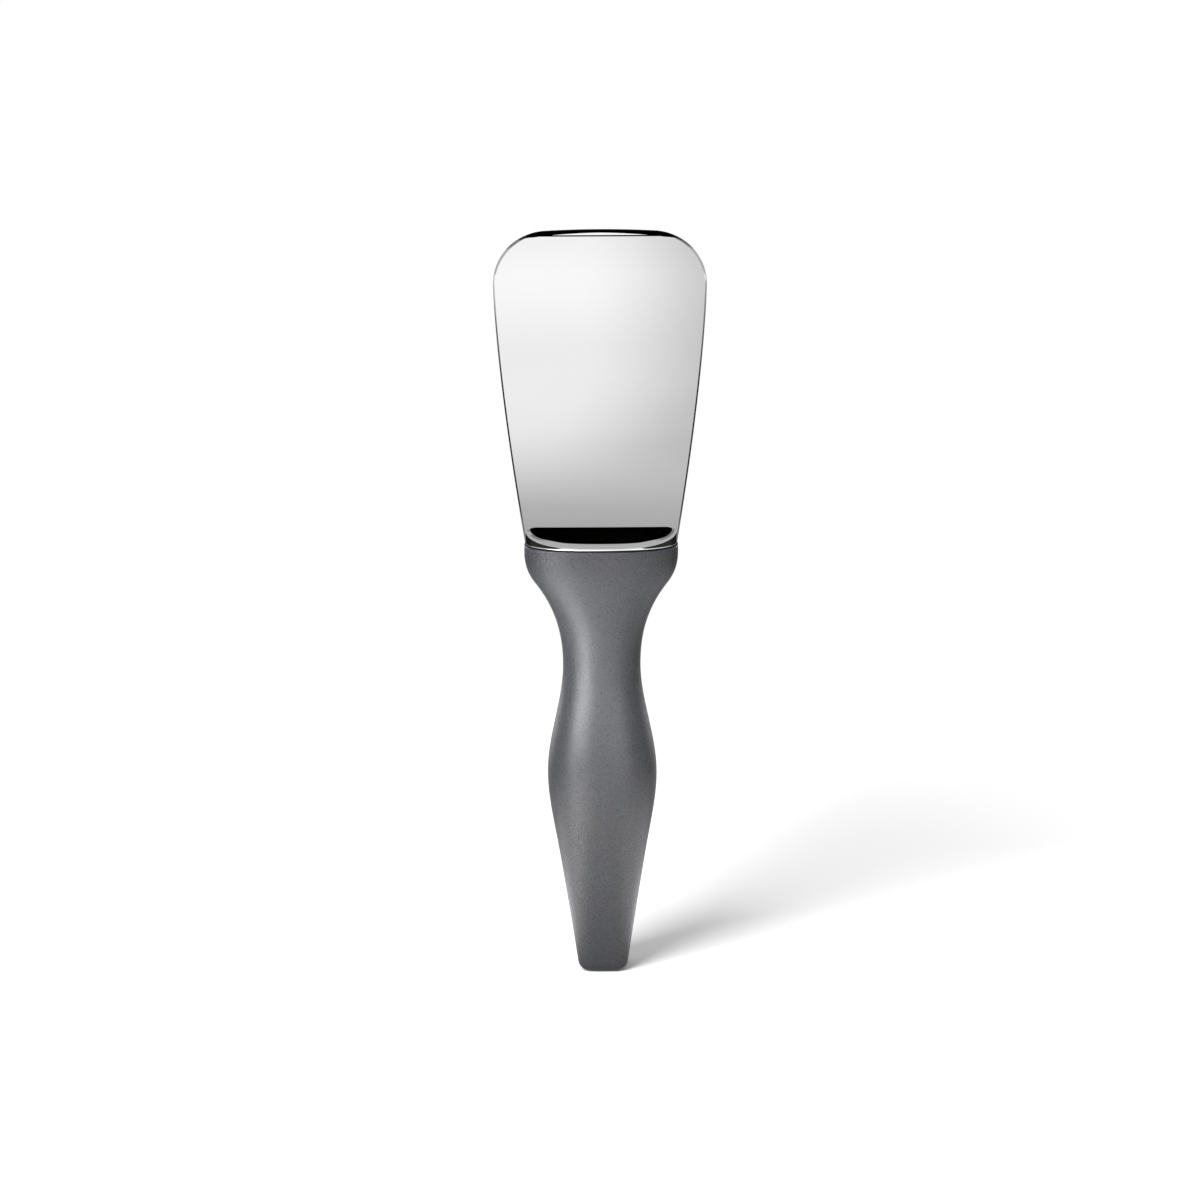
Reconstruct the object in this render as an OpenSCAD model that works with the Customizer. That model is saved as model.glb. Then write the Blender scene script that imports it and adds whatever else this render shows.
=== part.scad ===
// Ice cream spade: a polished cast head on a moulded two-layer handle.
// The spade stands on its foot on the XY plane, Z runs up to the digging edge,
// and the face with the ground facet looks along -Y. All sizes are in millimetres.

/* [Blade] */
// Length of the metal head above the handle, to the middle of the digging edge
blade_len = 97.4; // [80:0.2:118]
// Greatest width of the blade
blade_w = 64; // [56:0.2:76]
// Width of the blade at its foot, inside the bolster
blade_foot_w = 44.8; // [38:0.2:45]
// Radius of the blade's two upper corners
corner_r = 16.2; // [8:0.2:20]
// Radius of the slightly bowed digging edge
tip_r = 300; // [150:5:600]
// How full the blade's flanks are: 1 is a straight taper, 2 is a round one
flank_power = 1.55; // [1.2:0.05:2.2]
// Thickness of the blade where it leaves the bolster
blade_root_t = 5; // [4:0.1:6.5]
// Thickness of the blade at the digging edge, before the facet is ground
blade_tip_t = 2.4; // [2:0.1:3.4]
// Rounding of the blade's edges along the flanks
blade_edge_r = 0.5; // [0.2:0.1:0.9]
// Rounding of the digging edge, which is nearly a full round
tip_edge_r = 1.1; // [0.6:0.1:1.2]
// Height of the ground facet below the digging edge
facet_h = 1.9; // [1:0.1:5]
// How far the facet leans back over its height
facet_lean = 0.2; // [0.1:0.05:0.6]

/* [Bolster] */
// Width of the oval bolster where it meets the handle
bolster_w = 45.6; // [45.2:0.2:54]
// Depth of the oval bolster where it meets the handle
bolster_d = 21; // [18:0.2:25]
// Squareness of the bolster's oval: 2 is an ellipse
bolster_n = 2.5; // [2.2:0.1:4]
// Height of the bolster's upright wall at the middle of its front
wall_h = 0.8; // [0.8:0.1:3]
// Rise of the rounded rim above the wall
rim_rise = 1.55; // [0.8:0.05:2]
// How far the rounded rim is set in over its rise
rim_in = 1; // [0.5:0.1:1.4]
// Rise of the domed shoulders, from the rim to the middle of the blade
shoulder_rise = 3.65; // [3:0.05:7]
// Fullness of the shoulders: 1 is a straight roof, 2 is a round dome
shoulder_power = 1.5; // [1.3:0.1:2.2]
// Rounding under the bolster's edge
bolster_edge_r = 0.55; // [0.1:0.05:0.6]

/* [Handle outline, seen from the front] */
// Length of the handle from the foot to the bolster
handle_len = 131.2; // [118:0.2:155]
// How far the grip stands proud of the bolster all round
rim_proud = 0.2; // [0.1:0.05:0.8]
// Width at the foot
foot_w = 14.6; // [13.6:0.2:19]
// Width at the heel, where the straight taper ends
heel_w = 26; // [21:0.2:31]
// Height of the heel above the foot
heel_rise = 37; // [30:0.5:46]
// Width at the palm swell
swell_w = 32.6; // [29:0.2:39]
// Height of the palm swell above the foot
swell_rise = 60.5; // [52:0.5:70]
// Width at the neck
neck_w = 23.2; // [20:0.2:27]
// Distance from the bolster down to the neck
neck_drop = 37.5; // [30:0.5:44]
// Width at the flare, where the neck opens most steeply
flare_w = 40.6; // [34:0.2:43]
// Distance from the bolster down to the flare
flare_drop = 11.7; // [9.5:0.1:14]
// Height of the upright collar under the bolster
collar_h = 2.2; // [1:0.1:4]

/* [Handle depth, seen from the side] */
// Depth at the foot
foot_d = 16; // [14.4:0.2:19]
// Depth at the heel
heel_d = 22.4; // [18:0.2:26]
// Depth at the palm swell
swell_d = 26; // [22:0.2:31]
// Depth at the neck
neck_d = 19; // [17:0.2:22]
// Depth at the flare
flare_d = 20.2; // [18:0.2:24]

/* [Handle section] */
// Squareness at the foot: 2 is an ellipse
foot_n = 4; // [3:0.1:5]
// Squareness at the palm swell
swell_n = 2.4; // [2:0.1:3]
// Squareness at the neck
neck_n = 2.2; // [2:0.1:3]
// Thickness of the soft grip over the core
grip_t = 2.2; // [1.6:0.1:2.6]
// Rounding of the grip's upper edge
grip_edge_r = 0.5; // [0.2:0.1:1]
// Rounding of the foot's lower edge
foot_edge_r = 2.4; // [1.4:0.1:2.8]

/* [Core, foot cap and pins] */
// Thickness of the core's flange, which shows as a dark line under the bolster
flange_t = 0.5; // [0.3:0.1:1]
// How far the flange is set in from the bolster's edge
flange_inset = 0.6; // [0.2:0.05:1]
// Thickness of the foot cap's plate
cap_t = 1.2; // [1.1:0.1:2]
// Diameter of the foot cap's spigot
spigot_d = 6.6; // [5:0.1:7]
// Length of the foot cap's spigot
spigot_len = 12; // [8:0.5:18]
// Depth of the hollow that lightens the core from below
hollow_depth = 34; // [24:0.5:40]
// Length of the tang inside the core
tang_len = 86; // [78:0.5:92]
// Width of the tang under the bolster
tang_root_w = 24; // [18:0.5:28]
// Width of the tang in the neck
tang_neck_w = 12.6; // [11:0.2:14]
// Thickness of the tang
tang_t = 4.4; // [3.4:0.1:5.4]
// Diameter of the two pins through core and tang
pin_d = 4; // [3:0.1:4.8]
// How far the pins' ends lie below the core's surface
pin_sunk = 0.6; // [0.2:0.1:1.5]
// Distance from the bolster down to the upper pin
upper_pin_drop = 50; // [42:0.5:54]
// Distance from the upper pin down to the lower pin
pin_pitch = 24; // [18:0.5:25]

/* [Hidden] */

tang_gap = 0.05;    // clearance between the tang and its slot, each side
pin_gap = 0.01;     // radial clearance of the pins in the core and the tang
spigot_gap = 0.02;  // radial clearance of the spigot in the hollow
lead_in = 0.6;      // chamfer on the end of the spigot
ring_points = 48;   // points round each section of the handle and the bolster
ring_step = 4;      // greatest distance between sections along the handle
flank_steps = 14;   // points up each flank of the blade
corner_steps = 10;  // points round each upper corner of the blade
tip_steps = 4;      // points along each half of the digging edge
edge_steps = 3;     // sections in each small rounding
rim_steps = 4;      // sections in the rounding of the rim
foot_steps = 6;     // sections in the rounding of the foot
rim_start = 18;     // angle at which the rounded rim leaves the upright wall
least_flat = 0.1;   // half thickness that the digging edge's rounding leaves flat
past = 1;           // how far a cutting tool runs past what it cuts
$fn = 64;

collar_w = bolster_w + 2 * rim_proud;
collar_d = bolster_d + 2 * rim_proud;
neck_z = handle_len - neck_drop;
flare_z = handle_len - flare_drop;
collar_z = handle_len - collar_h;
grip_top = handle_len - flange_t;
upper_pin_z = handle_len - upper_pin_drop;
lower_pin_z = upper_pin_z - pin_pitch;

// Slopes of the handle, in millimetres of half size per millimetre of height
foot_slope = 0.14;
heel_slope = 0.17;
flare_slope = 0.78;
foot_slope_d = 0.06;
heel_slope_d = 0.09;
flare_slope_d = 0.05;

// Stations of the handle, from the foot up: [height, half size, slope]
half_widths = [
    [0, foot_w / 2, foot_slope],
    [heel_rise, heel_w / 2, heel_slope],
    [swell_rise, swell_w / 2, 0],
    [neck_z, neck_w / 2, 0],
    [flare_z, flare_w / 2, flare_slope],
    [collar_z, collar_w / 2, 0],
    [handle_len, collar_w / 2, 0]
];
half_depths = [
    [0, foot_d / 2, foot_slope_d],
    [heel_rise, heel_d / 2, heel_slope_d],
    [swell_rise, swell_d / 2, 0],
    [neck_z, neck_d / 2, 0],
    [flare_z, flare_d / 2, flare_slope_d],
    [collar_z, collar_d / 2, 0],
    [handle_len, collar_d / 2, 0]
];
squareness = [
    [0, foot_n, 0],
    [swell_rise, swell_n, 0],
    [neck_z, neck_n, 0],
    [collar_z, bolster_n, 0],
    [handle_len, bolster_n, 0]
];

// Smooth curve through two stations, with the slope that each one states
function hermite(p, q, z) =
    let (h = q[0] - p[0], t = (z - p[0]) / h)
    (2 * t^3 - 3 * t^2 + 1) * p[1] + (t^3 - 2 * t^2 + t) * h * p[2]
    + (3 * t^2 - 2 * t^3) * q[1] + (t^3 - t^2) * h * q[2];

// Value of a list of stations at height z
function along(stations, z, i = 0) =
    i >= len(stations) - 2 || z <= stations[i + 1][0]
        ? hermite(stations[i], stations[i + 1], z)
        : along(stations, z, i + 1);

// One closed section at height z: an oval of half sizes a and b, squarer as n grows
function oval(a, b, n, z) = [
    for (i = [0:ring_points - 1])
        let (u = 360 * i / ring_points,
             k = (abs(cos(u))^n + abs(sin(u))^n)^(-1 / n))
        [a * k * cos(u), b * k * sin(u), z]
];

// Section of the handle at height z, set in from the outer surface
function handle_ring(z, inset = 0) =
    oval(along(half_widths, z) - inset, along(half_depths, z) - inset, along(squareness, z), z);

// Steps of a rounding of radius r: [distance from its start, how far it is set in]
function rounding(r, steps) = [
    for (i = [0:steps])
        let (u = 90 * i / steps)
        [r * (1 - cos(u)), r * (1 - sin(u))]
];
foot_rounding = rounding(foot_edge_r, foot_steps);
function foot_inset(z) =
    z >= foot_edge_r ? 0 : foot_edge_r - sqrt(foot_edge_r^2 - (foot_edge_r - z)^2);

// Heights from lo to hi, no further apart than ring_step
function heights(lo, hi) =
    let (n = ceil((hi - lo) / ring_step))
    [for (i = [0:n]) lo + (hi - lo) * i / n];

// Points of an arc in the plane
function arc(centre, r, from, to, steps) = [
    for (i = [0:steps])
        let (u = from + (to - from) * i / steps)
        centre + r * [cos(u), sin(u)]
];

// Closed outline from its right half, whose last point lies on the middle line
function both_sides(half) = concat(half, [
    for (i = [len(half) - 2:-1:0])
        [for (k = [0:len(half[i]) - 1]) k == 0 ? -half[i][0] : half[i][k]]
]);

// Triangles between one section and the next, where start and next are the
// numbers of their first points and n is the number of points in each
function band(start, next, n) = [
    for (j = [0:n - 1])
        let (k = (j + 1) % n)
        each [[start + j, next + j, next + k], [start + j, next + k, start + k]]
];

// Solid through a stack of sections. With hollow set, the last section joins the
// first, so sections that climb outside and come down inside make a tube.
module loft(rings, hollow = false) {
    n = len(rings[0]);
    m = len(rings);
    sides = [for (i = [0:m - (hollow ? 1 : 2)]) each band(i * n, ((i + 1) % m) * n, n)];
    ends = hollow ? [] : [[for (j = [0:n - 1]) j], [for (j = [n - 1:-1:0]) (m - 1) * n + j]];
    polyhedron(points = [for (r = rings) each r], faces = concat(sides, ends));
}

module along_x(length) {
    translate([-length / 2, 0, 0]) rotate([90, 0, 90]) linear_extrude(length) children();
}

module along_y(length) {
    translate([0, length / 2, 0]) rotate([90, 0, 0]) linear_extrude(length) children();
}

// Outline of the blade. Each upper corner is an arc that meets the flank and the
// bowed digging edge without a break.
tip_centre_z = blade_len - tip_r;
corner_x = blade_w / 2 - corner_r;
corner_z = tip_centre_z + sqrt((tip_r - corner_r)^2 - corner_x^2);
corner_end = atan2(corner_z - tip_centre_z, corner_x);
flare_out = (blade_w - blade_foot_w) / 2;
blade_start = wall_h; // the blade's foot lies inside the bolster
function flank(z) = blade_w / 2 - flare_out * (1 - z / corner_z)^flank_power;
function flank_lean(z) =
    atan(flare_out * flank_power / corner_z * (1 - z / corner_z)^(flank_power - 1));

// Points up the right half of the blade's outline: [[x, z], outward direction]
blade_half = concat(
    [for (i = [0:flank_steps - 1])
        let (z = blade_start + (corner_z - blade_start) * i / flank_steps, u = flank_lean(z))
        [[flank(z), z], [cos(u), -sin(u)]]],
    [for (i = [0:corner_steps])
        let (u = corner_end * i / corner_steps)
        [[corner_x, corner_z] + corner_r * [cos(u), sin(u)], [cos(u), sin(u)]]],
    [for (i = [1:tip_steps])
        let (u = corner_end + (90 - corner_end) * i / tip_steps)
        [[0, tip_centre_z] + tip_r * [cos(u), sin(u)], [cos(u), sin(u)]]]
);

// Half thickness of the blade at height z above the handle
function blade_half_t(z) = (blade_root_t + (blade_tip_t - blade_root_t) * z / blade_len) / 2;

// Radius of the blade's edge at height z: it grows from the flanks' to the digging edge's
tip_edge = min(tip_edge_r, blade_tip_t / 2 - least_flat);
function edge_r(z) =
    let (t = min(1, max(0, (z - blade_len + facet_h) / (0.7 * facet_h))))
    blade_edge_r + (tip_edge - blade_edge_r) * (3 * t^2 - 2 * t^3);

// The blade's outline at one level of its rounded edge: side is -1 at the front, and
// the level states its inset and its drop as shares of the edge's radius
function blade_ring(level, side) = both_sides([
    for (p = blade_half)
        let (r = edge_r(p[0][1]), q = p[0] - r * level[0] * p[1])
        [q[0], side * (blade_half_t(q[1]) - r * level[1]), q[1]]
]);

// Blade as a stack of outlines from the back face, round the edge, to the front
module blade() {
    round_edge = [for (s = rounding(1, edge_steps)) [s[1], s[0]]];
    levels = len(round_edge);
    rings = concat(
        [for (i = [0:levels - 1]) blade_ring(round_edge[i], 1)],
        [for (i = [levels - 1:-1:0]) blade_ring(round_edge[i], -1)]
    );
    n = len(rings[0]);
    m = len(rings);
    half = (n - 1) / 2;
    last = (m - 1) * n;
    sides = [for (i = [0:m - 2]) each band(i * n, (i + 1) * n, n)];
    back = [for (i = [0:half - 1])
        each concat([[i, i + 1, n - 1 - i]], i < half - 1 ? [[i + 1, n - 2 - i, n - 1 - i]] : [])];
    front = [for (f = back) [last + f[2], last + f[1], last + f[0]]];
    polyhedron(points = [for (r = rings) each r], faces = concat(sides, back, front));
}

// What the grinding of the facet takes away, in the YZ plane
module facet_side() {
    z = blade_len - facet_h;
    y = -blade_half_t(z);
    polygon([
        [y, z], [y + facet_lean, blade_len], [y + facet_lean, blade_len + past],
        [y - blade_root_t, blade_len + past], [y - blade_root_t, z]
    ]);
}

// Height of the domed shoulders at distance y from the middle of the blade
crown_z = wall_h + rim_rise + shoulder_rise;
function dome(y) = crown_z - shoulder_rise * (abs(y) / (bolster_d / 2))^shoulder_power;

// Steps of the rounded rim: [how far it is set in, how far it lies below the shoulders]
rim_rounding = [
    for (i = [0:rim_steps])
        let (u = rim_start + (90 - rim_start) * i / rim_steps)
        [rim_in * (1 - cos(u) / cos(rim_start)), rim_rise * (1 - sin(u)) / (1 - sin(rim_start))]
];

// Oval bolster: its wall rises into the rounded rim, which follows the shoulders
module bolster() {
    a = bolster_w / 2;
    b = bolster_d / 2;
    n = ring_points;
    rings = concat(
        [for (s = rounding(bolster_edge_r, edge_steps))
            oval(a - s[1], b - s[1], bolster_n, s[0])],
        [for (s = rim_rounding)
            [for (p = oval(a - s[0], b - s[0], bolster_n, 0)) [p[0], p[1], dome(p[1]) - s[1]]]]
    );
    top = (len(rings) - 1) * n;
    sides = [for (i = [0:len(rings) - 2]) each band(i * n, (i + 1) * n, n)];
    bottom = [[for (j = [0:n - 1]) j]];
    shoulders = [
        for (i = [-n / 4:n / 4 - 1])
            let (r0 = top + (i + n) % n, r1 = top + (i + 1 + n) % n,
                 l0 = top + n / 2 - i, l1 = l0 - 1)
            each concat(i < n / 4 - 1 ? [[l0, l1, r1]] : [], i > -n / 4 ? [[l0, r1, r0]] : [])
    ];
    polyhedron(points = [for (r = rings) each r], faces = concat(sides, bottom, shoulders));
}

// Outline of the tang in the XZ plane, hanging down from the bolster
module tang_outline(gap = 0) {
    taper_z = -neck_drop * 0.6;
    end_r = tang_neck_w / 2 + gap;
    half = concat(
        [[tang_root_w / 2 + gap, past], [tang_root_w / 2 + gap, 0], [end_r, taper_z]],
        arc([0, end_r - tang_len - gap], end_r, 0, -90, 8)
    );
    polygon(both_sides(half));
}

module pin_bore(z) {
    translate([0, 0, z]) rotate([90, 0, 0])
        cylinder(d = pin_d + 2 * pin_gap, h = swell_d, center = true);
}

module spade_head() {
    color("silver")
    difference() {
        translate([0, 0, handle_len]) union() {
            difference() {
                blade();
                along_x(blade_w + 2 * past) facet_side();
            }
            bolster();
            along_y(tang_t) tang_outline();
        }
        for (z = [upper_pin_z, lower_pin_z]) pin_bore(z);
    }
}

module handle_core() {
    a = bolster_w / 2 - flange_inset;
    b = bolster_d / 2 - flange_inset;
    color("dimgray")
    difference() {
        loft(concat(
            [for (z = heights(cap_t, grip_top)) handle_ring(z, grip_t)],
            [oval(a, b, bolster_n, grip_top), oval(a, b, bolster_n, handle_len)]
        ));
        translate([0, 0, handle_len]) along_y(tang_t + 2 * tang_gap) tang_outline(tang_gap);
        for (z = [upper_pin_z, lower_pin_z]) pin_bore(z);
        translate([0, 0, cap_t - past]) cylinder(d = spigot_d + 2 * spigot_gap, h = hollow_depth + past);
    }
}

module tang_pin(z) {
    color("gainsboro")
    translate([0, 0, z]) rotate([90, 0, 0])
        cylinder(d = pin_d, h = 2 * (along(half_depths, z) - grip_t - pin_sunk), center = true);
}

module grip_sleeve() {
    inner = heights(cap_t, grip_top);
    foot = [for (s = foot_rounding) if (s[0] > cap_t) s[0]];
    outer = heights(max(cap_t, foot_edge_r) + ring_step / 2, grip_top - grip_edge_r);
    color("slategray")
    loft(concat(
        [handle_ring(cap_t, foot_inset(cap_t))],
        [for (z = foot) handle_ring(z, foot_inset(z))],
        [for (z = outer) handle_ring(z)],
        [for (i = [edge_steps - 1:-1:0])
            let (s = rounding(grip_edge_r, edge_steps)[i])
            handle_ring(grip_top - s[0], s[1])],
        [for (i = [len(inner) - 1:-1:0]) handle_ring(inner[i], grip_t)]
    ), hollow = true);
}

module butt_cap() {
    color("slategray")
    union() {
        loft(concat(
            [for (s = foot_rounding) if (s[0] < cap_t) handle_ring(s[0], foot_inset(s[0]))],
            [handle_ring(cap_t, foot_inset(cap_t))]
        ));
        translate([0, 0, cap_t / 2]) cylinder(d = spigot_d, h = spigot_len - lead_in + cap_t / 2);
        translate([0, 0, cap_t + spigot_len - lead_in])
            cylinder(d1 = spigot_d, d2 = spigot_d - 2 * lead_in, h = lead_in);
    }
}

spade_head();
handle_core();
tang_pin(upper_pin_z);  // tang_pin_upper
tang_pin(lower_pin_z);  // tang_pin_lower
grip_sleeve();
butt_cap();
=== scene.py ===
import math

import bmesh
import bpy
from mathutils import Matrix, Vector


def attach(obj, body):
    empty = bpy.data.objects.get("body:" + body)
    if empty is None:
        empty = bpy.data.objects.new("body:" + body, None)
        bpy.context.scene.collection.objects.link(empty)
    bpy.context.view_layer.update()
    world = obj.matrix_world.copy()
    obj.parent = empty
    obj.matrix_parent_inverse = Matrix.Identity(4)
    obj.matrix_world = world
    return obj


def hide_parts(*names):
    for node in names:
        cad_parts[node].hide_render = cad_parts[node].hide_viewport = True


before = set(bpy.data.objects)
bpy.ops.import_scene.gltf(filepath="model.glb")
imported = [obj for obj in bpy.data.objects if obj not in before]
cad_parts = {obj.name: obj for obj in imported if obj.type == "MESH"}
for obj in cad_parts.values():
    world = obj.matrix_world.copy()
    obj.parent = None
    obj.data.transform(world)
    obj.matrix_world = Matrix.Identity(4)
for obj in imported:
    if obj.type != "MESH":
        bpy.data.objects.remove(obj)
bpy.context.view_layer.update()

# Camera. A long lens looks at the middle of the spade from 8 m away and 15 degrees above
# the table. A roll of a quarter of a degree gives the spade its slight lean.
camera_elevation = math.radians(15)
camera_distance = 8.0
camera_roll = math.radians(-0.28)
frame_height = 0.3587  # height that the picture covers at the object
sensor = 36.0
aim = Vector((-0.00043, 0.0, 0.1135))

camera_data = bpy.data.cameras.new("camera")
camera_data.sensor_width = sensor
camera_data.lens = sensor * camera_distance / frame_height
camera = bpy.data.objects.new("camera", camera_data)
bpy.context.scene.collection.objects.link(camera)
toward = Vector((0, -math.cos(camera_elevation), math.sin(camera_elevation)))
camera.location = aim + camera_distance * toward
camera.rotation_euler = (
    toward.to_track_quat("Z", "Y").to_matrix() @ Matrix.Rotation(camera_roll, 3, "Z")
).to_euler()
bpy.context.scene.camera = camera
bpy.context.scene.view_settings.view_transform = "Standard"


# Lamps. One large soft lamp to the left of the camera lights the table and the handle.
# Two narrow strips in front of the handle and two lamps behind it light only the handle.
def soft_lamp(name, side, elevation, distance, width, height, level, target=aim):
    """Area lamp round the object. Side counts left of the camera in degrees, and level
    is the light on a surface that faces the lamp, where 1 makes white paper white."""
    side = math.radians(side)
    elevation = math.radians(elevation)
    data = bpy.data.lights.new(name, "AREA")
    data.shape = "ELLIPSE"
    data.size = width
    data.size_y = height
    data.energy = level * (math.pi * distance) ** 2
    piece = bpy.data.objects.new(name, data)
    bpy.context.scene.collection.objects.link(piece)
    toward = Vector((
        -math.sin(side) * math.cos(elevation),
        -math.cos(side) * math.cos(elevation),
        math.sin(elevation),
    ))
    piece.location = target + distance * toward
    piece.rotation_euler = toward.to_track_quat("Z", "Y").to_euler()
    return piece


key_lamp = soft_lamp(
    "key_lamp", side=34, elevation=39, distance=4.0, width=2.15, height=2.15, level=0.85,
)
above_swell = Vector((0.0, 0.0, 0.076))
grip_middle = Vector((0.0, 0.0, 0.085))
waist = Vector((0.0, 0.0, 0.098))
strip_lamps = [
    soft_lamp(
        "strip_lamp", side=38, elevation=0, distance=0.24,
        width=0.12, height=0.05, level=0.02, target=waist,
    ),
    soft_lamp(
        "right_strip_lamp", side=-20, elevation=6, distance=0.3,
        width=0.22, height=0.06, level=0.006, target=above_swell,
    ),
]
rim_lamps = [
    soft_lamp(
        "left_rim_lamp", side=148, elevation=0, distance=1.2,
        width=0.7, height=0.9, level=0.75, target=grip_middle,
    ),
    soft_lamp(
        "right_rim_lamp", side=-146, elevation=0, distance=1.2,
        width=0.7, height=0.9, level=0.45, target=grip_middle,
    ),
]
strip_spread = math.radians(16)
for lamp in strip_lamps:
    lamp.data.spread = strip_spread


# Room. Grey walls under a dark ceiling, which only gloss sees. The camera sees plain
# white behind the spade, and matt surfaces get an even fill.
class Nodes:
    """Short names for making and joining the nodes of one material or world."""

    def __init__(self, tree):
        self.tree = tree
        tree.nodes.clear()

    def add(self, kind, inputs=None, **settings):
        node = self.tree.nodes.new(kind)
        for name, value in settings.items():
            setattr(node, name, value)
        for name, value in (inputs or {}).items():
            if isinstance(value, bpy.types.NodeSocket):
                self.tree.links.new(value, node.inputs[name])
            else:
                node.inputs[name].default_value = value
        return node

    def math(self, operation, a, b=0.0):
        return self.add("ShaderNodeMath", {0: a, 1: b}, operation=operation).outputs[0]

    def ramp(self, value, lo, hi, start=0.0, end=1.0):
        """Runs smoothly from start to end while value runs from lo to hi."""
        return self.add(
            "ShaderNodeMapRange",
            {"Value": value, "From Min": lo, "From Max": hi, "To Min": start, "To Max": end},
            interpolation_type="SMOOTHSTEP",
        ).outputs["Result"]

    def steps(self, value, stops):
        """A grey that runs through stops of (position, grey), positions from 0 to 1."""
        node = self.add("ShaderNodeValToRGB", {"Fac": value})
        ramp = node.color_ramp
        while len(ramp.elements) < len(stops):
            ramp.elements.new(1.0)
        for element, (position, grey) in zip(ramp.elements, stops):
            element.position = position
            element.color = (grey, grey, grey, 1)
        return node.outputs["Color"]

    def mix(self, factor, a, b):
        node = self.add("ShaderNodeMixShader", {"Fac": factor})
        self.tree.links.new(a, node.inputs[1])
        self.tree.links.new(b, node.inputs[2])
        return node.outputs[0]


fill_strength = 0.35
wall_grey = 0.44
screen_grey = 0.2
far_wall_share = 0.05
ceiling_edge = (0.62, 0.68)


def room_light():
    """Light by direction: X runs right, Y away from the camera and Z up, each to 1."""
    world = bpy.data.worlds.new("room")
    bpy.context.scene.world = world
    world.use_nodes = True
    n = Nodes(world.node_tree)
    path = n.add("ShaderNodeLightPath").outputs
    direction = n.add("ShaderNodeTexCoord").outputs["Generated"]
    along = n.add("ShaderNodeSeparateXYZ", {0: direction}).outputs
    aside = n.math("ABSOLUTE", along["X"])
    # The ceiling begins higher at both sides, and higher again at the far left.
    left_rise = n.ramp(along["X"], -0.85, -0.55, 0.14, 0.0)
    side_rise = n.ramp(aside, 0.25, 0.4, 0.0, 0.1)
    height = n.math("SUBTRACT", along["Z"], n.math("ADD", left_rise, side_rise))
    # Darker screens hang high up at both sides, at the left only on the camera's side.
    hung = n.math("MAXIMUM", n.ramp(along["Y"], 0.0, 0.2, 1.0, 0.0), n.ramp(along["X"], 0.3, 0.6))
    hung = n.math("MULTIPLY", hung, n.ramp(along["Z"], 0.5, 0.62))
    screen = n.math("MULTIPLY", n.ramp(aside, 0.45, 0.7), hung)
    grey = n.ramp(screen, 0.0, 1.0, wall_grey, screen_grey)
    grey = n.math("MULTIPLY", grey, n.ramp(along["Y"], 0.5, 0.75, 1.0, far_wall_share))
    walls = n.math("MULTIPLY", grey, n.ramp(height, *ceiling_edge, 1.0, 0.0))
    white = (1, 1, 1, 1)
    fill = n.add("ShaderNodeBackground", {"Color": white, "Strength": fill_strength}).outputs[0]
    gloss = n.add("ShaderNodeBackground", {"Color": white, "Strength": walls}).outputs[0]
    behind = n.add("ShaderNodeBackground", {"Color": white, "Strength": 1.0}).outputs[0]
    lit = n.mix(path["Is Glossy Ray"], fill, gloss)
    seen = n.mix(path["Is Camera Ray"], lit, behind)
    n.add("ShaderNodeOutputWorld", {"Surface": seen})


room_light()

# Table. White paper that keeps the spade's shadow. Gloss sees it glow instead, a painted
# reflection in grey bands: white nearby, then dark, then lighter further out, which give the metal its
# gradient.
table_half = 6.0
table_grey = 0.6
paper_white = 1.5  # to the camera, so that the lit paper clips to white
rear_share = 0.45
lane_light = 6.0

# Painted reflection: glowing bands in front of the spade and beside it, as pairs of reach and grey.
front_glow_bands = [
    (0.196, 1.0), (0.2155, 0.44), (0.289, 0.41), (0.306, 0.47), (0.317, 0.56),
    (0.3385, 0.74), (0.36, 0.86), (0.3825, 0.89), (0.42, 0.885), (0.46, 0.985),
    (0.472, 1.0), (0.50, 0.93), (1.0, 1.0),
]
side_glow_bands = [
    (0.10, 1.0), (0.125, 0.35), (0.172, 0.28), (0.186, 0.03), (0.272, 0.02),
    (0.30, 0.12), (0.3275, 0.2), (0.39, 0.65), (0.50, 0.8), (1.0, 0.9),
]


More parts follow.
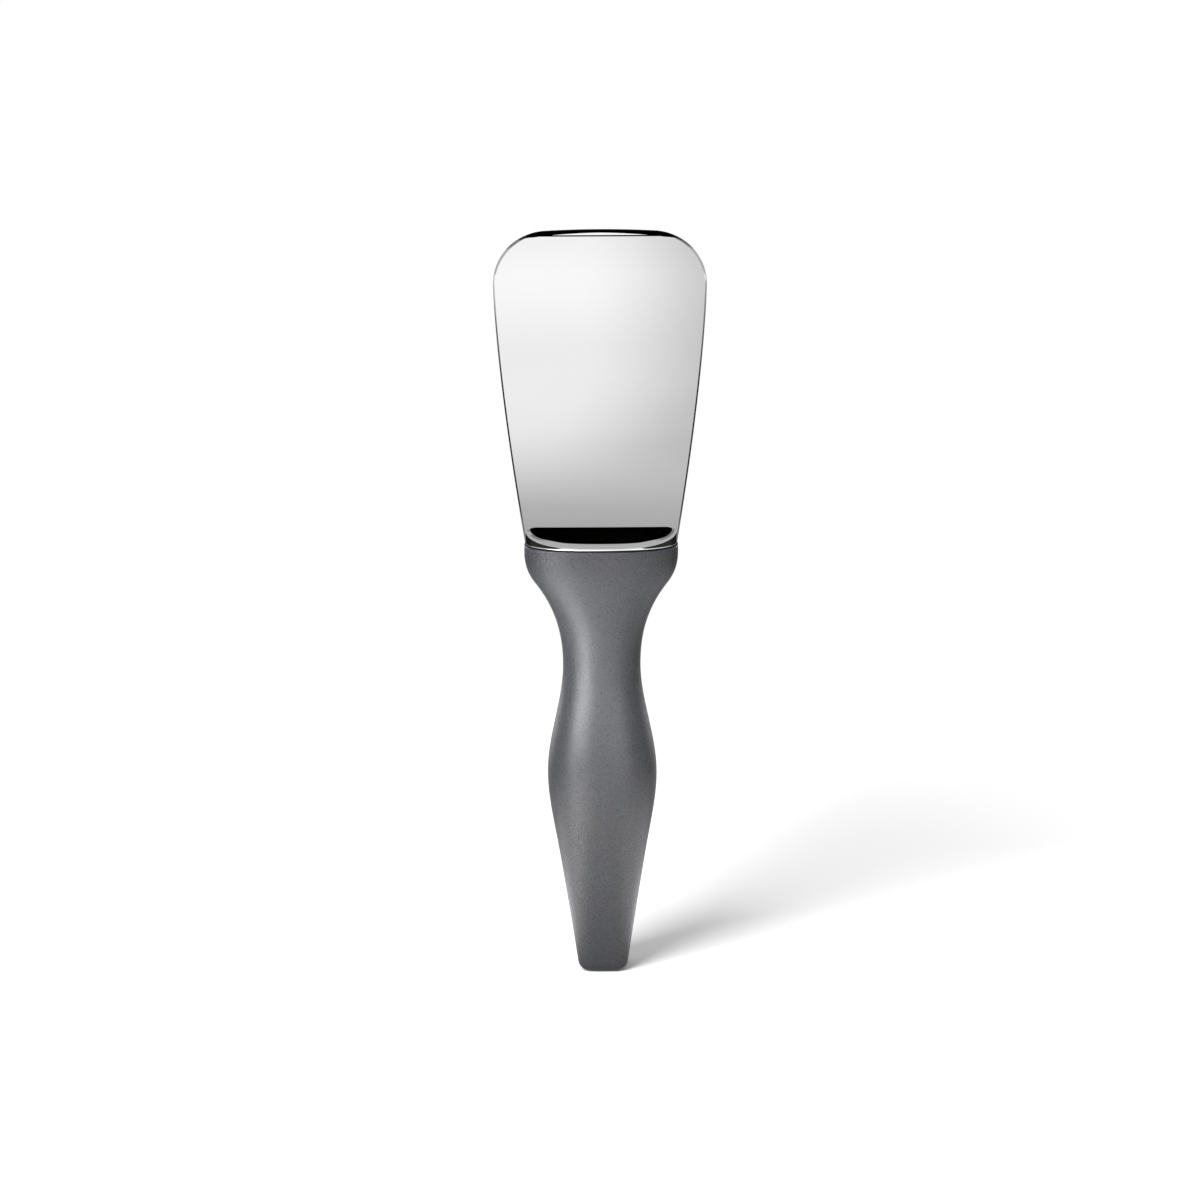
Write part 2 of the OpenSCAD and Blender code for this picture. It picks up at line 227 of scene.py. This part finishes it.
def painted_table_reflection(n, path):
    """Strength of the table's glow in gloss, a painted reflection, and the reach that bands it."""
    position = n.add("ShaderNodeNewGeometry").outputs["Position"]
    place = n.add("ShaderNodeSeparateXYZ", {0: position}).outputs
    x = place["X"]
    y = place["Y"]
    aside = n.math("ABSOLUTE", x)
    # Reach is half the distance from the handle's axis, so that 1 is 2 m away.
    reach = n.math("SQRT", n.math("ADD", n.math("POWER", x, 2.0), n.math("POWER", y, 2.0)))
    reach = n.math("MULTIPLY", reach, 0.5)
    banded = n.add("ShaderNodeMix", {0: n.ramp(aside, 0.161, 0.185)}, data_type="FLOAT")
    n.tree.links.new(n.steps(reach, front_glow_bands), banded.inputs[2])
    n.tree.links.new(n.steps(reach, side_glow_bands), banded.inputs[3])
    # From 0.6 m out, the bands lose light to the right.
    edge = n.ramp(reach, 0.33, 0.41, 0.0, 0.032)
    right = n.ramp(n.math("SUBTRACT", x, edge), -0.045, 0.06)
    loss = n.math("MULTIPLY", n.ramp(reach, 0.33, 0.38, 0.34, 0.44), n.ramp(reach, 0.298, 0.352))
    loss = n.math("MULTIPLY", loss, n.ramp(reach, 0.5, 0.8, 1.0, 0.0))
    dim = n.math("SUBTRACT", 1.0, n.math("MULTIPLY", right, loss))
    strength = n.math("MULTIPLY", banded.outputs[0], dim)
    # A bright glowing lane, a painted highlight for the handle's flare, runs out to the front left.
    # Only rays from higher up meet it.
    from_above = n.ramp(path["Ray Length"], 0.09, 0.12)
    out = n.math("ADD", n.math("MULTIPLY", x, -0.56), n.math("MULTIPLY", y, -0.83))
    off = n.math("ADD", n.math("MULTIPLY", x, 0.83), n.math("MULTIPLY", y, -0.56))
    lane = n.ramp(n.math("ABSOLUTE", off), 0.01, 0.06, lane_light, 0.0)
    ends = n.math("MULTIPLY", n.ramp(out, 0.015, 0.04), n.ramp(out, 0.15, 0.2, 1.0, 0.0))
    lane = n.math("MULTIPLY", n.math("MULTIPLY", lane, from_above), ends)
    # Painted highlight: the foot's two flanks see a glow close by, stronger on the left.
    glow = n.math("MULTIPLY", n.ramp(aside, 0.012, 0.04), n.ramp(x, -0.01, 0.01, 1.7, 1.25))
    near = n.math("MULTIPLY", n.ramp(reach, 0.006, 0.018), n.ramp(reach, 0.055, 0.08, 1.0, 0.0))
    glow = n.math("MULTIPLY", glow, near)
    glow = n.math("MULTIPLY", glow, n.math("SUBTRACT", 1.0, from_above))
    # Painted shade: the table's glow is darker right under the foot, and it is also dimmer behind the
    # spade.
    strength = n.math("MULTIPLY", strength, n.ramp(reach, 0.005, 0.04, 0.35, 1.0))
    strength = n.math("ADD", strength, n.math("MAXIMUM", lane, glow))
    strength = n.math("MULTIPLY", strength, n.ramp(y, 0.02, 0.08, 1.0, rear_share))
    return strength, reach


def table_paper():
    """Paper: grey to matt light, white to the camera, and a banded painted reflection in gloss."""
    material = bpy.data.materials.new("white_table")
    material.use_nodes = True
    n = Nodes(material.node_tree)
    path = n.add("ShaderNodeLightPath").outputs
    strength, reach = painted_table_reflection(n, path)
    gloss = n.add("ShaderNodeEmission", {"Strength": strength}).outputs[0]
    lit_grey = (table_grey, table_grey, table_grey, 1)
    seen_white = (paper_white, paper_white, paper_white, 1)
    diffuse = n.add("ShaderNodeBsdfDiffuse", {"Color": lit_grey}).outputs[0]
    near = n.add("ShaderNodeBsdfDiffuse", {"Color": seen_white}).outputs[0]
    far = n.add("ShaderNodeEmission", {"Strength": 1.0}).outputs[0]
    seen = n.mix(n.ramp(reach, 0.1, 0.2), near, far)
    matt = n.mix(path["Is Camera Ray"], diffuse, seen)
    surface = n.mix(path["Is Glossy Ray"], matt, gloss)
    n.add("ShaderNodeOutputMaterial", {"Surface": surface})
    return material


def mesh_piece(name, points, faces, material, sharp=math.radians(28)):
    """A smooth-shaded object from points and faces. Edges over the angle sharp stay hard."""
    mesh = bpy.data.meshes.new(name)
    mesh.from_pydata(points, [], faces)
    mesh.validate()
    shape = bmesh.new()
    shape.from_mesh(mesh)
    bmesh.ops.recalc_face_normals(shape, faces=shape.faces)
    shape.to_mesh(mesh)
    shape.free()
    mesh.shade_smooth()
    mesh.set_sharp_from_angle(angle=sharp)
    mesh.materials.append(material)
    piece = bpy.data.objects.new(name, mesh)
    bpy.context.scene.collection.objects.link(piece)
    return piece


table_corners = [(-1, -1), (1, -1), (1, 1), (-1, 1)]
floor = mesh_piece(
    "table",
    [(x * table_half, y * table_half, 0) for x, y in table_corners],
    [(0, 1, 2, 3)],
    table_paper(),
)

# Head. Blade, oval bolster and tang are one casting of zinc alloy, ground, polished and
# plated with chrome. The tang hangs down into the handle and takes two cross pins.
MM = 0.001
handle_len = 131.2 * MM
waist_down = 37.5 * MM

# Blade, which flares from its foot to two round corners and gets thinner to its edge.
blade_len = 96.45 * MM
blade_w = 63.7 * MM
blade_foot_w = 45.2 * MM
flank_power = 1.42
corner_r = 16.2 * MM
tip_r = 300 * MM
blade_root_t = 5 * MM
blade_tip_t = 2.4 * MM
crown = 0.25 * MM

# Edges: rounded flanks, and a bevel, a flat and a ground facet at the digging edge.
edge_r = 0.5 * MM
edge_power = 1.6
back_tip_r = 0.4 * MM
bevel_r = 1.1 * MM
bevel_start = math.radians(30)
bevel_fade = 1.9 * MM
bevel_grow = 1.3 * MM
chamfer_middle = 0.1 * MM
chamfer_more = 0.5 * MM
chamfer_half_w = 17 * MM
chamfer_power = 1.5
crease_half_w = 18.1 * MM
crease_tilt = math.radians(28)
facet_half_w = 14.3 * MM
facet_tilt = math.radians(4.5)

# Bolster, from the seam up: lip, leaning wall, rim and domed shoulders.
bolster_w = 45.6 * MM
bolster_d = 21 * MM
bolster_n = 2.5
lip_r = 0.5 * MM
wall_lean = 0.018
wall_hollow = 0.02
wall_parts = (0.97, 0.8, 0.6, 0.4, 0.2, 0.03)
rim_z = 0.62 * MM
rim_rise = 1.8 * MM
rim_in = 1.0 * MM
rim_end_in = 3.4 * MM
rim_start = math.radians(18)
rim_low = 0.7
rim_more = 0.3
rim_more_zone = 0.45
shoulder_rise = 3.7 * MM
shoulder_power = 1.15
ridge_half = 0.8 * MM

# Tang, with the drill for its pin holes.
tang_root_w = 24 * MM
tang_w = 12.6 * MM
tang_len = 86 * MM
tang_t = 4.4 * MM
tang_overlap = 2 * MM
tang_taper = 0.6 * waist_down
pin_hole_d = 4.02 * MM
pin_depths = (50 * MM, 74 * MM)
drill_reach = 4 * MM

# Fineness of the meshes.
rows_flank = 60
rows_corner = 80
rows_crease = 12
rows_lens = 30
columns = 48
face_border = 0.04 * MM
edge_steps = 8
rim_steps = 16
dome_steps = 24
tang_steps = 24
drill_sides = 64
around = 240
head_sharp = math.radians(18)

tip_centre_z = blade_len - tip_r
corner_x = blade_w / 2 - corner_r
corner_z = tip_centre_z + math.sqrt((tip_r - corner_r) ** 2 - corner_x ** 2)
corner_end = math.atan2(corner_z - tip_centre_z, corner_x)
flare_out = (blade_w - blade_foot_w) / 2


def smooth(t):
    """Eases from 0 to 1 while t runs from 0 to 1, and is level outside."""
    t = min(1.0, max(0.0, t))
    return t * t * (3 - 2 * t)


def fullness(z):
    """From 0 along the flanks to 1 over the digging edge, at height z of the outline."""
    return smooth((z - (blade_len - bevel_fade)) / bevel_grow)


def chamfer(x):
    """Width of the flat ground along the digging edge, widest near both corners."""
    return chamfer_middle + chamfer_more * min(1.0, abs(x) / chamfer_half_w) ** chamfer_power


def edge_step(x, z, side, u):
    """Inset and drop of the edge at angle u, from 0 on the rim to pi/2 on the face."""
    inset = edge_r * (1 - max(0.0, math.cos(u)) ** edge_power)
    drop = edge_r * (1 - math.sin(u) ** edge_power)
    if side == -1:
        tilt = math.pi / 2 + (bevel_start - math.pi / 2) * u / (math.pi / 2)
        tip_inset = bevel_r * (1 - math.sin(tilt))
        tip_drop = bevel_r * (math.cos(bevel_start) - math.cos(tilt))
        tip_drop += chamfer(x) * math.tan(bevel_start)
        if u == math.pi / 2:
            tip_inset += chamfer(x)
            tip_drop = 0.0
    else:
        tip_inset = back_tip_r * (1 - math.cos(u))
        tip_drop = back_tip_r * (1 - math.sin(u))
    full = fullness(z)
    return inset + (tip_inset - inset) * full, drop + (tip_drop - drop) * full


def tip_point(x):
    """Point of the outline at distance x from the middle, on the digging edge or corner."""
    u = math.acos(x / tip_r)
    if u > corner_end:
        return x, tip_centre_z + tip_r * math.sin(u), math.cos(u), math.sin(u)
    u = math.acos((x - corner_x) / corner_r)
    return x, corner_z + corner_r * math.sin(u), math.cos(u), math.sin(u)


def blade_outline():
    """Right half of the blade's outline from the foot up: (x, z, outward x, outward z)."""
    points = []
    for i in range(rows_flank):
        z = rim_z + (corner_z - rim_z) * i / rows_flank
        x = blade_w / 2 - flare_out * (1 - z / corner_z) ** flank_power
        slope = flare_out * flank_power / corner_z * (1 - z / corner_z) ** (flank_power - 1)
        lean = math.atan(slope)
        points.append((x, z, math.cos(lean), -math.sin(lean)))
    crease_angle = math.acos((crease_half_w - corner_x) / corner_r)
    for i in range(rows_corner):
        u = crease_angle * i / rows_corner
        x = corner_x + corner_r * math.cos(u)
        z = corner_z + corner_r * math.sin(u)
        points.append((x, z, math.cos(u), math.sin(u)))
    crease_w = facet_half_w - crease_half_w
    across = [crease_half_w + crease_w * i / rows_crease for i in range(rows_crease)]
    across += [facet_half_w * (1 - i / rows_lens) for i in range(rows_lens)]
    return points + [tip_point(x) for x in across]


def half_thickness(x, z):
    """Half thickness of the blade, whose faces are a little crowned across."""
    middle = (blade_root_t + (blade_tip_t - blade_root_t) * z / blade_len) / 2
    return middle - crown * (x / (blade_w / 2)) ** 2


def face_height(across):
    """Height of the front face's border below the digging edge, at distance across."""
    x, z, _, nz = tip_point(across)
    return z - edge_step(x, z, -1, math.pi / 2)[0] * nz


crease_low = face_height(crease_half_w)
crease_high = face_height(facet_half_w)


def ground_back(z):
    """How far the ground strip and the facet above it lean back at height z."""
    if z <= crease_low:
        return 0.0
    strip = min(z, crease_high) - crease_low
    facet = max(z, crease_high) - crease_high
    return strip * math.tan(crease_tilt) + facet * math.tan(facet_tilt)


def blade_rings():
    """Rings round the blade's edge, from the front face's border to the back's."""
    outline = blade_outline()
    rings = []
    for side in (-1, 1):
        for step in range(edge_steps + 1):
            u = math.pi / 2 * (step if side == 1 else edge_steps - step) / edge_steps
            ring = []
            for (x, z, nx, nz) in outline:
                inset, drop = edge_step(x, z, side, u)
                px = x - inset * nx
                pz = z - inset * nz
                y = half_thickness(px, pz) - drop
                if side == -1:
                    y -= ground_back(pz)
                ring.append((px, side * y, pz))
            rings.append(ring)
    return rings


def blade_piece(material):
    """Closed blade: the rings of its edge, left and right, and a grid over each face."""
    rings = blade_rings()
    count = len(rings[0])
    points = []
    index = {}
    for k, ring in enumerate(rings):
        for i, p in enumerate(ring):
            for s in (1, -1):
                index[(k, i, s)] = len(points)
                points.append((s * p[0], p[1], p[2]))
    faces = []
    last = len(rings) - 1
    for k in range(last):
        for i in range(count - 1):
            for s in (1, -1):
                corners = ((k, i, s), (k + 1, i, s), (k + 1, i + 1, s), (k, i + 1, s))
                faces.append(tuple(index[corner] for corner in corners))
        for i in (count - 1, 0):
            corners = ((k, i, 1), (k + 1, i, 1), (k + 1, i, -1), (k, i, -1))
            faces.append(tuple(index[corner] for corner in corners))
    for k, side in ((0, -1), (last, 1)):
        grid = []
        for i in range(count):
            x, _, z = rings[k][i]
            row = [index[(k, i, 1)]]
            across = [x * (1 - 2 * j / columns) for j in range(1, columns)]
            for px in [x - face_border] + across + [face_border - x]:
                y = half_thickness(px, z) - (ground_back(z) if side == -1 else 0.0)
                row.append(len(points))
                points.append((px, side * y, z))
            row.append(index[(k, i, -1)])
            grid.append(row)
        for i in range(count - 1):
            for j in range(columns + 2):
                faces.append((grid[i][j], grid[i][j + 1], grid[i + 1][j + 1], grid[i + 1][j]))
    return mesh_piece("blade", points, faces, material, head_sharp)


def oval(a, b, n, count):
    """Points of an oval of half sizes a and b: an ellipse where n is 2, squarer above."""
    points = []
    for i in range(count):
        u = 2 * math.pi * i / count
        k = (abs(math.cos(u)) ** n + abs(math.sin(u)) ** n) ** (-1 / n)
        points.append((a * k * math.cos(u), b * k * math.sin(u)))
    return points


def dome(y):
    """Height of the shoulders above the seam at distance y from the blade's middle."""
    crown_z = rim_z + rim_rise + shoulder_rise
    return crown_z - shoulder_rise * (abs(y) / (bolster_d / 2)) ** shoulder_power


def rim_height(y):
    """Height of the rim's rounding, which gets lower towards the ends of the oval."""
    zone = rim_more_zone * bolster_d / 2
    return rim_rise * (rim_low + rim_more * min(1.0, abs(y) / zone))


def ring_faces(rings, closed=False):
    """Quads between one ring of points and the next."""
    n = len(rings[0])
    faces = []
    for k in range(len(rings) - (0 if closed else 1)):
        a = k * n
        b = ((k + 1) % len(rings)) * n
        faces += [(a + i, b + i, b + (i + 1) % n, a + (i + 1) % n) for i in range(n)]
    return faces


def bolster_piece(material):
    """Oval bolster as rings from the lip at the seam up to the ridge inside the blade."""
    a = bolster_w / 2
    b = bolster_d / 2
    outline = oval(a, b, bolster_n, around)

    def ring(inset, height):
        """Ring of the oval, where inset and height are given for each distance y."""
        return [(x * (1 - inset(y) / a), y * (1 - inset(y) / b), height(y)) for x, y in outline]

    def wall_h(y):
        return dome(y) - rim_height(y) - lip_r

    rings = []
    for step in range(edge_steps + 1):
        u = math.pi / 2 * step / edge_steps
        rings.append(ring(
            lambda y: wall_h(y) * (wall_lean + wall_hollow) + lip_r * (1 - math.sin(u)),
            lambda y: lip_r * (1 - math.cos(u)),
        ))
    for t in wall_parts:
        rings.append(ring(
            lambda y: wall_h(y) * (wall_lean * t + wall_hollow * t * t),
            lambda y: lip_r + wall_h(y) * (1 - t),
        ))
    for step in range(rim_steps + 1):
        u = rim_start + (math.pi / 2 - rim_start) * step / rim_steps
        part = 1 - math.cos(u) / math.cos(rim_start)
        drop = (1 - math.sin(u)) / (1 - math.sin(rim_start))
        inner = oval(a - rim_end_in * part, b - rim_in * part, bolster_n, around)
        rings.append([(x, y, dome(y) - rim_height(y) * drop) for x, y in inner])
    for step in range(1, dome_steps + 1):
        inset = (b - ridge_half - rim_in) * step / dome_steps
        inner = oval(a - rim_end_in - inset, b - rim_in - inset, bolster_n, around)
        rings.append([(x, y, dome(y)) for x, y in inner])
    points = [p for ring in rings for p in ring]
    faces = ring_faces(rings)
    faces.append(tuple(range(around)))
    faces.append(tuple(range(len(points) - around, len(points))))
    return mesh_piece("bolster", points, faces, material, head_sharp)


def tang_piece(material):
    """Flat tang in outline, with a round end."""
    r = tang_w / 2
    half = [(tang_root_w / 2, tang_overlap), (tang_root_w / 2, 0), (r, -tang_taper)]
    for i in range(tang_steps + 1):
        u = -math.pi / 2 * i / tang_steps
        half.append((r * math.cos(u), r - tang_len + r * math.sin(u)))
    outline = half + [(-x, z) for x, z in reversed(half[:-1])]
    count = len(outline)
    points = [(x, y, z) for y in (-tang_t / 2, tang_t / 2) for x, z in outline]
    faces = [(i, (i + 1) % count, count + (i + 1) % count, count + i) for i in range(count)]
    faces.append(tuple(range(count)))
    faces.append(tuple(range(count, 2 * count)))
    return mesh_piece("tang", points, faces, material)


def cut_or_join(piece, other, operation):
    """Joins other to piece, or cuts it away, and removes other."""
    change = piece.modifiers.new(operation, "BOOLEAN")
    change.operation = operation
    change.solver = "EXACT"
    change.object = other
    bpy.context.view_layer.objects.active = piece
    with bpy.context.temp_override(object=piece, active_object=piece, selected_objects=[piece]):
        bpy.ops.object.modifier_apply(modifier=change.name)
    bpy.data.objects.remove(other)
    piece.data.shade_smooth()
    piece.data.set_sharp_from_angle(angle=head_sharp)


def pin_drill(z, material):
    """Drill for a cross pin's hole through the tang at height z."""
    hole = oval(pin_hole_d / 2, pin_hole_d / 2, 2, drill_sides)
    rings = [[(x, y, z + up) for x, up in hole] for y in (-drill_reach, drill_reach)]
    faces = ring_faces(rings)
    faces.append(tuple(range(drill_sides)))
    faces.append(tuple(range(drill_sides, 2 * drill_sides)))
    return mesh_piece("drill", rings[0] + rings[1], faces, material)


def noise(n, scale, **more):
    """Noise over the object's own place, as many waves a metre as scale says."""
    where = n.add("ShaderNodeTexCoord").outputs["Object"]
    inputs = {"Vector": where, "Scale": scale, **more}
    return n.add("ShaderNodeTexNoise", inputs).outputs["Fac"]


def bare_metal(n, colour, rough):
    """Joins a plain metal of this colour and roughness to the material's output."""
    shader = n.add("ShaderNodeBsdfPrincipled", {
        "Base Color": (*colour, 1),
        "Metallic": 1.0,
        "Roughness": rough,
    })
    n.add("ShaderNodeOutputMaterial", {"Surface": shader.outputs[0]})


def chrome():
    """Bright chrome plate: clear mirror with the faint unevenness of hand polishing."""
    material = bpy.data.materials.new("chrome_plate")
    material.use_nodes = True
    n = Nodes(material.node_tree)
    haze = noise(n, 45.0, Detail=5.0)
    bare_metal(n, (0.95, 0.95, 0.955), n.ramp(haze, 0.3, 0.75, 0.015, 0.05))
    return material


chrome_plate = chrome()
head = blade_piece(chrome_plate)
cut_or_join(head, bolster_piece(chrome_plate), "UNION")
cut_or_join(head, tang_piece(chrome_plate), "UNION")
for depth in pin_depths:
    cut_or_join(head, pin_drill(-depth, chrome_plate), "DIFFERENCE")
head.name = "polished_head"
head.location.z = handle_len

# The key lamp leaves the head out, which is to mirror only the table and the room.
unlit = bpy.data.collections.new("not_lit_by_key")
unlit.objects.link(head)
unlit.collection_objects[0].light_linking.link_state = "EXCLUDE"
key_lamp.light_linking.receiver_collection = unlit
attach(head, "root")
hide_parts("spade_head")


# Pins. Two plain steel dowels cross the core and the tang, and lock the head in the
# handle. They are pressed in before the soft layer is moulded over them.
def turned_steel():
    """Turned steel with fine lathe marks."""
    material = bpy.data.materials.new("pin_steel")
    material.use_nodes = True
    n = Nodes(material.node_tree)
    marks = noise(n, 900.0, Detail=3.0)
    bare_metal(n, (0.56, 0.56, 0.57), n.ramp(marks, 0.2, 0.8, 0.22, 0.42))
    return material


pin_steel = turned_steel()
for name in ("tang_pin_upper", "tang_pin_lower"):
    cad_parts[name].data.materials.clear()
    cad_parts[name].data.materials.append(pin_steel)


# Core. A stiff nylon core is moulded to take the tang; its flange shows as the dark
# line under the bolster, and the soft layer is moulded over the rest. That line is partly black nylon
# and partly painted shade.
def moulded(name, colour, smoothest, roughest, grain, depth, gloss=0.5):
    """Moulded plastic or rubber: a fine spark-eroded grain and a slight tone change."""
    tone_change = 0.04
    gloss_change = 0.18
    cloud_scale = 60.0
    material = bpy.data.materials.new(name)
    material.use_nodes = True
    n = Nodes(material.node_tree)
    fine = noise(n, grain, Detail=2.0, Roughness=0.6)
    broad = noise(n, cloud_scale, Detail=2.0)
    share = n.math("ADD", n.ramp(broad, 0.3, 0.7, 0.0, 0.6), n.ramp(fine, 0.3, 0.7, 0.0, 0.4))
    tone = n.add("ShaderNodeMix", {0: share}, data_type="RGBA")
    tone.inputs[6].default_value = (*(c * (1 - tone_change) for c in colour), 1)
    tone.inputs[7].default_value = (*(c * (1 + tone_change) for c in colour), 1)
    bump = n.add("ShaderNodeBump", {"Height": fine, "Distance": depth, "Strength": 1.0})
    dull = gloss * (1 - gloss_change)
    bright = gloss * (1 + gloss_change)
    shader = n.add("ShaderNodeBsdfPrincipled", {
        "Base Color": tone.outputs[2],
        "Roughness": n.ramp(fine, 0.3, 0.7, smoothest, roughest),
        "Normal": bump.outputs[0],
        "Specular IOR Level": n.ramp(fine, 0.35, 0.65, dull, bright),
    })
    n.add("ShaderNodeOutputMaterial", {"Surface": shader.outputs[0]})
    return material


# The near-black colour is partly the nylon's own and partly painted shade for the narrow gap under the
# bolster.
core_nylon_gap_shade = moulded(
    "core_nylon_gap_shade", (0.010, 0.010, 0.012), smoothest=0.45, roughest=0.6, grain=1500.0, depth=0.02 * MM,
)
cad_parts["handle_core"].data.materials.clear()
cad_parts["handle_core"].data.materials.append(core_nylon_gap_shade)

# Grip. A sleeve of charcoal rubber moulded over the core gives the handle its shape:
# a flare under the bolster, a waist, a palm swell and a taper to a squarer foot.
collar_w = bolster_w + 0.4 * MM
collar_d = bolster_d + 0.4 * MM
grip_t = 2.2 * MM
flange_t = 0.5 * MM
flange_gap = 0.52 * MM
seam_t = 0.3 * MM
grip_edge_r = 0.2 * MM
foot_edge_r = 2.4 * MM
cap_t = 1.2 * MM
foot_ring_gap = 0.15 * MM
grip_ring_gap = 0.8 * MM
bore_ring_gap = 2 * MM

# Stations of (height, value, slope), from the foot up to the bolster.
taper_z = 37 * MM
swell_z = 60.5 * MM
waist_z = handle_len - waist_down
flare_z = handle_len - 11.7 * MM
collar_z = handle_len - 2.2 * MM
half_widths = [
    (0, 7.15 * MM, 0.14),
    (taper_z, 13 * MM, 0.17),
    (swell_z, 16.3 * MM, 0),
    (waist_z, 11.6 * MM, 0),
    (flare_z, 20.0 * MM, 0.78),
    (collar_z, collar_w / 2, 0),
    (handle_len, collar_w / 2, 0),
]
half_depths = [
    (0, 8 * MM, 0.06),
    (taper_z, 11.2 * MM, 0.09),
    (swell_z, 13 * MM, 0),
    (waist_z, 9.5 * MM, 0),
    (flare_z, 10.1 * MM, 0.05),
    (collar_z, collar_d / 2, 0),
    (handle_len, collar_d / 2, 0),
]
squareness = [
    (0, 4, 0),
    (swell_z, 2.4, 0),
    (waist_z, 2.2, 0),
    (collar_z, bolster_n, 0),
    (handle_len, bolster_n, 0),
]


def along(stations, z):
    """Value at height z of the smooth curve through the stations."""
    for p, q in zip(stations, stations[1:]):
        if z <= q[0]:
            break
    h = q[0] - p[0]
    t = (z - p[0]) / h
    return (
        (2 * t ** 3 - 3 * t ** 2 + 1) * p[1] + (t ** 3 - 2 * t ** 2 + t) * h * p[2]
        + (3 * t ** 2 - 2 * t ** 3) * q[1] + (t ** 3 - t ** 2) * h * q[2]
    )


def handle_ring(z, inset=0.0):
    """Ring of the handle's outside at height z, or that far inside it."""
    a = along(half_widths, z) - inset
    b = along(half_depths, z) - inset
    return [(x, y, z) for x, y in oval(a, b, along(squareness, z), around)]


def foot_inset(z):
    """How far the foot's rounding goes in at height z."""
    if z >= foot_edge_r:
        return 0.0
    return foot_edge_r - math.sqrt(foot_edge_r ** 2 - (foot_edge_r - z) ** 2)


def levels(lo, hi, gap):
    """Even heights from lo to hi, at most one gap apart."""
    count = math.ceil((hi - lo) / gap)
    return [lo + (hi - lo) * i / count for i in range(count + 1)]


def grip_piece(material):
    """The sleeve: its outside from the foot up, its rounded rim, and its bore back down."""
    grip_top = handle_len - seam_t
    flange_z = handle_len - flange_t
    rings = [handle_ring(z, foot_inset(z)) for z in levels(cap_t, foot_edge_r, foot_ring_gap)]
    outside = levels(foot_edge_r, grip_top - grip_edge_r, grip_ring_gap)
    rings += [handle_ring(z) for z in outside[1:]]
    for step in range(1, edge_steps + 1):
        u = math.pi / 2 * step / edge_steps
        z = grip_top - grip_edge_r * (1 - math.sin(u))
        rings.append(handle_ring(z, grip_edge_r * (1 - math.cos(u))))
    rings += [handle_ring(z, flange_gap) for z in (grip_top, flange_z)]
    rings += [handle_ring(z, grip_t) for z in reversed(levels(cap_t, flange_z, bore_ring_gap))]
    points = [p for ring in rings for p in ring]
    return mesh_piece("soft_grip", points, ring_faces(rings, closed=True), material)


grip_rubber = moulded(
    "grip_rubber", (0.0525, 0.054, 0.063), smoothest=0.27, roughest=0.35, grain=2300.0, depth=0.15 * MM,
    gloss=1.0,
)
grip = grip_piece(grip_rubber)
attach(grip, "root")
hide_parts("grip_sleeve")

# Foot cap. A moulded plug with a round spigot closes the hollow core from below and
# carries on the rounding of the foot. It is pressed in and glued.
spigot_r = 3.3 * MM
spigot_len = 12 * MM
spigot_land = 0.4 * MM
lead_in = 0.6 * MM
cap_ring_gap = 0.1 * MM


def cap_piece(material):
    """The cap from its flat foot up, with a chamfered spigot on top."""
    spigot_end = cap_t + spigot_len
    rings = [handle_ring(z, foot_inset(z)) for z in levels(0.0, cap_t, cap_ring_gap)]
    for r, z in (
        (spigot_r + spigot_land, cap_t),
        (spigot_r, cap_t),
        (spigot_r, spigot_end - lead_in),
        (spigot_r - lead_in, spigot_end),
    ):
        rings.append([(x, y, z) for x, y in oval(r, r, 2, around)])
    points = [p for ring in rings for p in ring]
    faces = ring_faces(rings)
    faces.append(tuple(range(around)))
    faces.append(tuple(range(len(points) - around, len(points))))
    return mesh_piece("foot_cap", points, faces, material)


foot_cap = cap_piece(grip_rubber)
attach(foot_cap, "root")
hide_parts("butt_cap")

# The strips and the rim lamps light only the grip and the cap.
handle_parts = bpy.data.collections.new("lit_by_grip_lamps")
for piece in (grip, foot_cap):
    handle_parts.objects.link(piece)
for grip_lamp in strip_lamps + rim_lamps:
    grip_lamp.light_linking.receiver_collection = handle_parts
